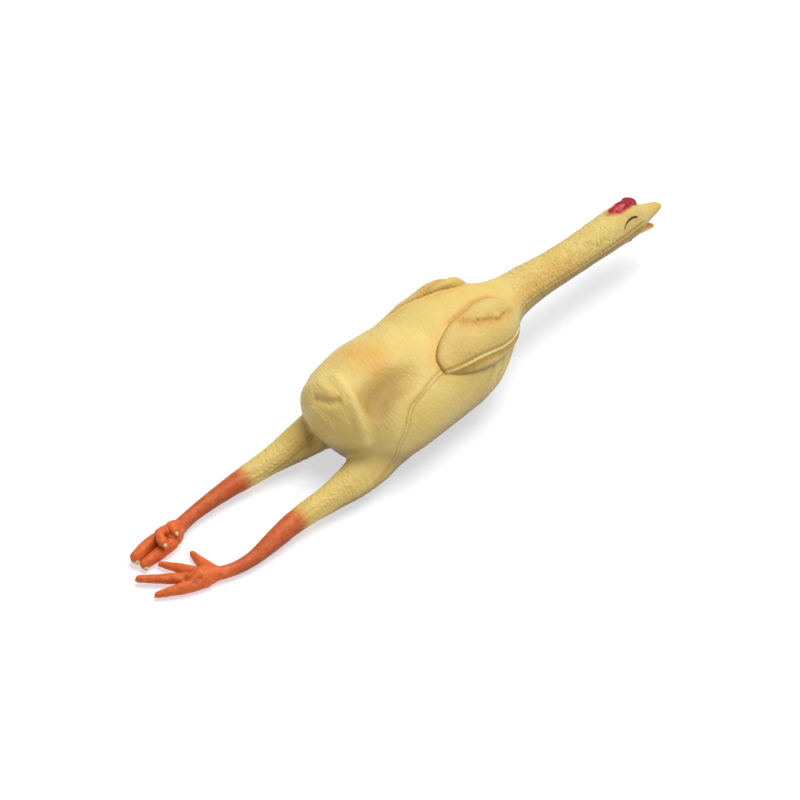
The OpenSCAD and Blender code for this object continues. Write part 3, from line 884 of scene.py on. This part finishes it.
# the mouth paint; a pale painted highlight; a brown painted shade for hollows, creases and undersides
MOUTH, PAINTED_HIGHLIGHT, SHADE_BROWN = srgb(208, 138, 48), srgb(232, 212, 140), srgb(148, 108, 40)
CREAM, CREAM_DEEP = srgb(226, 212, 160), srgb(198, 172, 104)
INK, INK_SOFT = srgb(30, 24, 14), srgb(58, 46, 24)
FLOOR, FLOOR_SHADE = srgb(182, 183, 184), srgb(179, 180, 182)
FLOOR_GLOW, FLOOR_GLOW_COLOUR = 0.58, (0.96, 0.98, 1.02, 1)


class Nodes:
    """A short way to write a material's node tree."""

    def __init__(self, name):
        self.material = bpy.data.materials.new(name)
        self.material.use_nodes = True
        self.tree = self.material.node_tree
        self.tree.nodes.clear()
        self.shader = self.tree.nodes.new("ShaderNodeBsdfPrincipled")
        out = self.tree.nodes.new("ShaderNodeOutputMaterial")
        self.tree.links.new(self.shader.outputs[0], out.inputs["Surface"])

    def link(self, source, target):
        self.tree.links.new(source, target)

    def value(self, name, output="Fac"):
        node = self.tree.nodes.new("ShaderNodeAttribute")
        node.attribute_name = name
        return node.outputs[output]

    def place(self):
        """Where the point is at rest, so that the texture stays put as the skin bends."""
        return self.value("rest", "Vector")

    def noise(self, place, size, detail=3.0, stretch=(1, 1, 1), rough=0.55):
        mapping = self.tree.nodes.new("ShaderNodeMapping")
        mapping.inputs["Scale"].default_value = [1 / (size * s) for s in stretch]
        self.link(place, mapping.inputs["Vector"])
        node = self.tree.nodes.new("ShaderNodeTexNoise")
        node.inputs["Scale"].default_value = 1.0
        node.inputs["Detail"].default_value = detail
        node.inputs["Roughness"].default_value = rough
        self.link(mapping.outputs[0], node.inputs["Vector"])
        return node.outputs["Fac"]

    def turned(self, place, angles):
        node = self.tree.nodes.new("ShaderNodeMapping")
        node.inputs["Rotation"].default_value = angles
        self.link(place, node.inputs["Vector"])
        return node.outputs[0]

    def cells(self, place, size):
        """Rounded dots, one in each cell, like goose pimples."""
        node = self.tree.nodes.new("ShaderNodeTexVoronoi")
        node.feature = "SMOOTH_F1"
        node.inputs["Scale"].default_value = 1 / size
        self.link(place, node.inputs["Vector"])
        return self.span(node.outputs["Distance"], 0.15, 0.75, 1.0, 0.0)

    def span(self, source, low, high, to_low=0.0, to_high=1.0):
        node = self.tree.nodes.new("ShaderNodeMapRange")
        for key, number in zip(("From Min", "From Max", "To Min", "To Max"), (low, high, to_low, to_high)):
            node.inputs[key].default_value = number
        self.link(source, node.inputs["Value"])
        return node.outputs["Result"]

    def math(self, kind, a, b):
        node = self.tree.nodes.new("ShaderNodeMath")
        node.operation = kind
        for socket, source in zip(node.inputs, (a, b)):
            if isinstance(source, (int, float)):
                socket.default_value = source
            else:
                self.link(source, socket)
        return node.outputs[0]

    def times(self, a, b):
        return self.math("MULTIPLY", a, b)

    def mix(self, share, a, b):
        node = self.tree.nodes.new("ShaderNodeMix")
        node.data_type = "RGBA"
        for socket, source in zip((node.inputs["Factor"], node.inputs[6], node.inputs[7]), (share, a, b)):
            if isinstance(source, (tuple, float)):
                socket.default_value = source
            else:
                self.link(source, socket)
        return node.outputs[2]

    def bump(self, height, distance, strength, before=None):
        node = self.tree.nodes.new("ShaderNodeBump")
        node.inputs["Distance"].default_value = distance
        node.inputs["Strength"].default_value = strength
        self.link(height, node.inputs["Height"])
        if before is not None:
            self.link(before, node.inputs["Normal"])
        return node.outputs[0]

    def set(self, **values):
        names = {"subsurface": "Subsurface Weight", "radius": "Subsurface Radius", "scale": "Subsurface Scale",
                 "ior": "IOR", "coat": "Coat Weight", "coat_roughness": "Coat Roughness"}
        for key, value in values.items():
            self.shader.inputs[names[key]].default_value = value


def soft_edge(n, share, broken, amount):
    """A sprayed edge: the share of paint, broken up by noise."""
    wander = n.times(n.math("SUBTRACT", broken, 0.5), amount)
    wander = n.times(wander, n.span(share, 0.0, 0.25))
    return n.span(n.math("ADD", share, wander), 0.0, 1.0)


def rubber_material():
    """Dipped latex: pale yellow, sprayed orange in the hollows, orange legs and a red comb, with painted shade
    and painted highlights mixed in.
    """
    n = Nodes("latex_skin")
    place = n.place()
    broad, fine = n.noise(place, 0.03), n.noise(place, 0.004, 4.0)
    grain = n.noise(place, 0.0011, 2.0)
    colour = n.mix(n.span(broad, 0.35, 0.7, 0.0, 0.55), YELLOW, YELLOW_DEEP)
    colour = n.mix(n.span(fine, 0.4, 0.75, 0.0, 0.25), colour, YELLOW_DEEP)
    # painted highlight on the tail ridge and the seam beads
    colour = n.mix(n.times(n.value("pale"), 0.6), colour, PAINTED_HIGHLIGHT)
    warm = soft_edge(n, n.value("warm"), fine, 0.45)
    colour = n.mix(n.times(warm, 0.62), colour, WARM)
    # painted shade: brown in the hollows and creases, greyer on the undersides; then the mouth colour
    for name, share, paint in (("deep", 0.72, SHADE_BROWN), ("shade", 0.9, UNDERSIDE_SHADE), ("mouth", 0.75, MOUTH)):
        colour = n.mix(n.times(n.value(name), share), colour, paint)
    leg_colour = n.mix(n.span(fine, 0.35, 0.8, 0.0, 0.5), LEG_ORANGE, LEG_DEEP)
    # the legs darker: a darker tone, with painted shade on their undersides
    leg_colour = n.mix(n.times(n.value("deep"), 0.6), leg_colour, LEG_SHADE)
    colour = n.mix(soft_edge(n, n.value("leg"), fine, 0.6), colour, leg_colour)
    red_colour = n.mix(n.span(fine, 0.4, 0.7), RED, RED_DEEP)
    colour = n.mix(soft_edge(n, n.value("red"), fine, 0.4), colour, red_colour)
    n.link(colour, n.shader.inputs["Base Color"])
    n.link(n.span(grain, 0.3, 0.7, 0.44, 0.6), n.shader.inputs["Roughness"])
    rings = n.noise(n.turned(place, (0.0, 0.35, 0.25)), 0.0019, 2.0, (0.75, 3.0, 2.4))
    normal = n.bump(grain, 0.0002, 0.4)
    normal = n.bump(n.times(rings, n.value("crepe")), 0.0028, 1.0, normal)
    bumps = n.times(n.cells(place, 0.0019), n.value("goose"))
    n.link(n.bump(bumps, 0.0006, 0.8, normal), n.shader.inputs["Normal"])
    n.set(subsurface=0.05, radius=(1.0, 0.6, 0.3), scale=0.0015, ior=1.36)
    return n.material


def glossy_material(name, light, deep, low, high, size):
    """Brushed-on paint with a wetter shine than the skin."""
    n = Nodes(name)
    place = n.place()
    patches = n.noise(place, size)
    n.link(n.mix(n.span(patches, 0.35, 0.7), light, deep), n.shader.inputs["Base Color"])
    n.link(n.span(n.noise(place, size / 3), 0.3, 0.7, low, high), n.shader.inputs["Roughness"])
    n.link(n.bump(patches, size / 8, 0.35), n.shader.inputs["Normal"])
    n.set(ior=1.5)
    return n.material


def floor_material():
    n = Nodes("studio_floor")
    coordinates = n.tree.nodes.new("ShaderNodeTexCoord").outputs["Object"]
    n.link(n.mix(n.noise(coordinates, 0.4), FLOOR, FLOOR_SHADE), n.shader.inputs["Base Color"])
    n.link(n.span(n.noise(coordinates, 0.05), 0.3, 0.7, 0.75, 0.85), n.shader.inputs["Roughness"])
    n.shader.inputs["Emission Color"].default_value = FLOOR_GLOW_COLOUR
    n.shader.inputs["Emission Strength"].default_value = FLOOR_GLOW
    return n.material


# ---- the pieces

def box_of(points, radius):
    p = np.array(points, float)[:, :3]
    return p.min(0) - radius, p.max(0) + radius


def neck_blend(piece, a, b, joint):
    at, reach = JOINT[joint], np.array([BEND_REACH["neck"], 0, 0])
    blend(piece, a, b, at - reach, at + reach)


def build_body(skin):
    """Torso, neck and thighs, from one surface."""
    low, high = (HOCK_X - OVERLAP, -52, -1.5), (HEAD_X + OVERLAP, 52, 88)
    s = Surface(*mesh_field(skin_field, low, high, VOXEL_TRUNK, 6.0), paint_skin)
    x, y = s.middle[:, 0], s.middle[:, 1]
    along = (s.middle - HIP_POINT) @ HIP_NORMAL
    leg = (along > HIP_START) & (x < -60)
    torso = s.piece("torso_skin", ~leg & (x < TORSO_END), skin, ["torso_shell", "tail"], "skin_yellow")
    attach(torso, "torso")
    starts, ends = (TORSO_END, *NECK_SPLITS), (*NECK_SPLITS, 999)
    bodies = ("torso", "neck_lower", "neck_middle", "neck_upper")
    joints = ("neck_base_bend", "neck_sway", "neck_bend")
    replaced = (["neck_collar", "neck_lower"], ["neck_middle"], ["neck_upper"])
    for i, name in enumerate(("neck_base_skin", "neck_middle_skin", "neck_upper_skin")):
        piece = s.piece(name, (x > starts[i]) & (x < ends[i]), skin, replaced[i], "skin_yellow")
        neck_blend(piece, bodies[i], bodies[i + 1], joints[i])
    for side in LEG:
        own = leg & ((y < LEG_SPLIT_Y) == (side == "right"))
        hip, splay = JOINT[side + "_hip_swing"], JOINT[side + "_leg_splay"]
        piece = s.piece(side + "_hip_skin", own & (along < THIGH_START), skin,
                        [side + "_thigh_upper"], "skin_yellow")
        reach = (hip - HIP_POINT) @ HIP_NORMAL
        blend(piece, "torso", side + "_thigh_upper",
              hip + HIP_NORMAL * (HIP_START + 0.5 - reach), hip + HIP_NORMAL * (THIGH_START - 1 - reach))
        piece = s.piece(side + "_thigh_skin", own & (along >= THIGH_START), skin,
                        [side + "_thigh_lower"], "skin_yellow")
        reach = (splay - HIP_POINT) @ HIP_NORMAL
        blend(piece, side + "_thigh_upper", side + "_thigh_lower",
              splay + HIP_NORMAL * (THIGH_START + 1 - reach), splay + HIP_NORMAL * (THIGH_START + 18 - reach))


def toe_way(side, name):
    """A toe's root, knuckle and tip, and its direction."""
    root, knuckle, tip = (np.array(station, float) for station in TOE[side][name])
    return root, knuckle, tip, unit(tip[:3] - root[:3])


def foot_labels(middle, side):
    """For each face: 0 on the shank or palm, or the number of its toe."""
    label = np.zeros(len(middle), int)
    hand = np.minimum(chain_distance(middle, LIMB[side]), ball_distance(middle, PALM[side]))
    toes = [chain_distance(middle, TOE_CHAIN[side][name]) for name in TOE_NAMES]
    nearest = np.stack([hand] + toes, 1).argmin(1)
    for number, name in enumerate(TOE_NAMES, 1):
        _, knuckle, _, way = toe_way(side, name)
        label[(nearest == number) & ((middle - knuckle[:3]) @ way > TOE_START)] = number
    return label


def largest_part(faces, chosen):
    """The chosen faces that hang together in the largest part."""
    index = np.flatnonzero(chosen)
    own = faces[index]
    part = np.arange(faces.max() + 1)
    while np.ptp(part[own], axis=1).any():
        np.minimum.at(part, own, part[own].min(1)[:, None])
    names, counts = np.unique(part[own[:, 0]], return_counts=True)
    out = np.zeros(len(faces), bool)
    out[index[part[own[:, 0]] == names[counts.argmax()]]] = True
    return out


def build_feet(skin, nail):
    """Hocks, shanks, feet and toes, with a claw on each toe."""
    low, high = (-266, -36, -1.5), (HOCK_X + OVERLAP, 44, 27)
    s = Surface(*mesh_field(leg_field, low, high, VOXEL_FOOT), paint_skin)
    for side in LEG:
        own = (s.middle[:, 1] < FEET_SPLIT_Y) == (side == "right")
        below = own & (s.middle[:, 0] <= SHANK_SPLIT_X)
        ankle, hock = JOINT[side + "_ankle_bend"], JOINT[side + "_hock_bend"]
        piece = s.piece(side + "_hock_skin", own & ~below, skin, [side + "_shank"], "leg_orange")
        blend(piece, side + "_thigh_lower", side + "_shank",
              (HOCK_X - 1, *hock[1:]), (2 * hock[0] - HOCK_X + 1, *hock[1:]))
        label = np.zeros(len(s.middle), int)
        if side == SPLAYED:
            found = foot_labels(s.middle, side)
            for number in range(1, len(TOE_NAMES) + 1):
                label[largest_part(s.faces, below & (found == number))] = number
        way = BEND_REACH["ankle"] * unit(np.array(LEG[side][-1][:3]) - ankle)
        piece = s.piece(side + "_foot_skin", below & (label == 0), skin, [side + "_foot"], "leg_orange")
        blend(piece, side + "_shank", side + "_foot", ankle - way, ankle + way)
        for number, name in enumerate(TOE_NAMES, 1):
            toe = f"{side}_{name}_toe"
            if side == CURLED:
                piece = whole_piece(toe + "_skin", curled_toe_field(name), box_of(TOE_CHAIN[side][name], 8),
                                    VOXEL_FOOT, paint_skin, skin, toe, "leg_orange")
            else:
                piece = s.piece(toe + "_skin", below & (label == number), skin, [toe], "leg_orange")
            _, knuckle, _, way = toe_way(side, name)
            reach = BEND_REACH["toe"] * way
            blend(piece, side + "_foot", toe, knuckle[:3] - reach, knuckle[:3] + reach)
            build_claw(side, name, nail)


TUBE_UP = np.array([0.0, 0.31, 0.95])


def tube(points, radii, sides=14):
    """A closed tube along the points, round in section."""
    points, radii = np.array(points, float), np.array(radii, float)
    way = unit(np.gradient(points, axis=0))
    side = unit(np.cross(way, TUBE_UP))
    turn = np.linspace(0, 2 * math.pi, sides, endpoint=False)[None, :, None]
    spokes = np.cos(turn) * side[:, None] + np.sin(turn) * np.cross(side, way)[:, None]
    rings = points[:, None] + radii[:, None, None] * spokes
    corners = np.vstack([rings.reshape(-1, 3), points[:1], points[-1:]])
    count = len(points)
    quads = [(i * sides + j, i * sides + (j + 1) % sides, (i + 1) * sides + (j + 1) % sides,
              (i + 1) * sides + j) for i in range(count - 1) for j in range(sides)]
    last = count * sides
    ends = [((j + 1) % sides, j, last) for j in range(sides)]
    ends += [((count - 1) * sides + j, (count - 1) * sides + (j + 1) % sides, last + 1) for j in range(sides)]
    return corners, np.array(quads), np.array(ends)


def build_claw(side, name, nail):
    """A short curved claw at the end of a toe."""
    _, knuckle, tip, _ = toe_way(side, name)
    way = unit(tip[:3] - knuckle[:3])
    t = np.linspace(0, 1, 9)
    length, droop = (2.2, 0.9) if side == "right" else (2.9, 1.2)
    start = tip[:3] + way * (tip[3] - 1.9) - np.array([0, 0, 0.4 * tip[3]])
    if side == "left":  # the curled toes turn their claws in, towards the other foot
        way = unit(way * 0.5 + np.array([0, -0.8, -0.15]))
        start = tip[:3] + way * (tip[3] - 1.8)
    points = start + way * (t * length)[:, None] - np.array([0, 0, 1]) * (droop * t ** 2)[:, None]
    radii = tip[3] * CLAW_WIDTH[side] * np.sqrt(np.clip(1 - t ** 2.2, 0, 1)) + 0.02
    corners, quads, ends = tube(points, radii)
    piece = make_piece(f"{side}_{name}_claw", corners, quads, ends, None, {}, nail,
                       [f"{side}_{name}_nail"])
    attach(piece, f"{side}_{name}_toe")


JAW_BOX = ((212, -15, 26), (254, 14, 56))


def build_head(skin, comb, ink):
    low, high = (HEAD_X - OVERLAP, -19, 26), (266, 18, 70)
    s = Surface(*mesh_field(skin_field, low, high, VOXEL_HEAD), paint_skin)
    head = s.piece("head_skin", s.middle[:, 0] > 0, skin, ["head_shell", "upper_beak"], "skin_yellow")
    neck_blend(head, "neck_upper", "head", "head_sway")
    jaw = whole_piece("lower_beak_skin", jaw_field, JAW_BOX, VOXEL_HEAD, paint_jaw,
                      skin, "lower_beak", "skin_yellow")
    at = JOINT["jaw_open"]
    blend(jaw, "head", "lower_beak", *[(at[0] + reach, *at[1:]) for reach in BEAK_BEND])
    balls = [(x, sign * y - 0.5, z, r) for x, y, z, r in WATTLE_BALLS for sign in (-1, 1)]
    for name, node, shape, melt, room in (("comb_crest", "comb", COMB_BALLS, 3.4, 8),
                                          ("wattle_lobes", "wattle", balls, 1.5, 5)):
        piece = whole_piece(name, balls_field(shape, melt), box_of(shape, room), VOXEL_HEAD,
                            paint_plain, comb, node, "comb_red")
        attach(piece, "head")
    for side in ("right", "left"):
        line = smooth_line(EYE_ARC, 6)
        angle = line[:, 1] if side == "right" else 180 + FAR_EYE_DROP - line[:, 1]
        points = TRUNK.surface(line[:, 0], angle)
        t = np.linspace(0, 1, len(points))
        radii = 0.34 + 0.46 * ramp(t, 0.2, 0.75) - 0.3 * ramp(t, 0.9, 1)
        corners, quads, ends = tube(points, radii, 10)
        piece = make_piece(side + "_eye_line", corners, quads, ends, None, {}, ink,
                           [side + "_eyelid"])
        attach(piece, "head")


def build_wings(skin):
    for side, sign in (("right", -1), ("left", 1)):
        low = (-28, -62 if sign < 0 else 2, 20)
        high = (76, -2 if sign < 0 else 62, 92)
        wing = whole_piece(side + "_wing_skin", wing_field(side), (low, high), VOXEL_WING, paint_wing(side),
                           skin, side + "_wing", "skin_yellow", 6.0)
        at = JOINT[side + "_wing_lift"]
        blend(wing, "torso", side + "_wing", at, at + (0, sign * WING_BEND[0], WING_BEND[1]))


# ---- the studio

CAMERA_AZIMUTH, CAMERA_ELEVATION, CAMERA_DISTANCE = -46, 42, 1.33
CAMERA_TARGET = Vector((-0.037, -0.008, 0.035))
LENS, SENSOR = 85, 36
KEY_PLACE, KEY_SIZE, KEY_WATTS, KEY_TARGET = (0.34, -0.12, 1.6), 1.3, 33.5, (-0.03, 0, 0.03)
WORLD_LIGHT = 0.28
FLOOR_HALF, FLOOR_DROP = 3.0, 0.0002


def build_camera():
    a, e = math.radians(CAMERA_AZIMUTH), math.radians(CAMERA_ELEVATION)
    back = Vector((math.sin(a) * math.cos(e), -math.cos(a) * math.cos(e), math.sin(e)))
    data = bpy.data.cameras.new("camera")
    data.lens, data.sensor_width = LENS, SENSOR
    camera = bpy.data.objects.new("camera", data)
    camera.location = CAMERA_TARGET + back * CAMERA_DISTANCE
    camera.rotation_euler = (-back).to_track_quat("-Z", "Y").to_euler()
    bpy.context.scene.collection.objects.link(camera)
    bpy.context.scene.camera = camera


def build_light(name, place, size, watts):
    data = bpy.data.lights.new(name, "AREA")
    data.shape, data.size, data.energy = "SQUARE", size, watts
    light = bpy.data.objects.new(name, data)
    light.location = place
    light.rotation_euler = (Vector(KEY_TARGET) - Vector(place)).to_track_quat("-Z", "Y").to_euler()
    bpy.context.scene.collection.objects.link(light)


def build_studio():
    mesh = bpy.data.meshes.new("floor")
    corners = [(x * FLOOR_HALF, y * FLOOR_HALF, 0) for x, y in ((-1, -1), (1, -1), (1, 1), (-1, 1))]
    mesh.from_pydata(corners, [], [(0, 1, 2, 3)])
    mesh.materials.append(floor_material())
    floor = bpy.data.objects.new("floor", mesh)
    floor.location.z = -FLOOR_DROP
    bpy.context.scene.collection.objects.link(floor)
    world = bpy.data.worlds.new("studio")
    world.use_nodes = True
    background = world.node_tree.nodes["Background"]
    background.inputs["Color"].default_value = (1, 1, 1, 1)
    background.inputs["Strength"].default_value = WORLD_LIGHT
    bpy.context.scene.world = world
    build_light("key", KEY_PLACE, KEY_SIZE, KEY_WATTS)
    scene = bpy.context.scene
    scene.view_settings.view_transform = "Standard"
    scene.view_settings.look = "None"


def main():
    skin = rubber_material()
    comb = glossy_material("comb_paint", RED, RED_DEEP, 0.34, 0.48, 0.008)
    nail = glossy_material("nail_paint", CREAM, CREAM_DEEP, 0.35, 0.5, 0.002)
    ink = glossy_material("eye_ink", INK, INK_SOFT, 0.7, 0.85, 0.003)
    build_body(skin)
    build_feet(skin, nail)
    build_head(skin, comb, ink)
    build_wings(skin)
    build_camera()
    build_studio()


main()
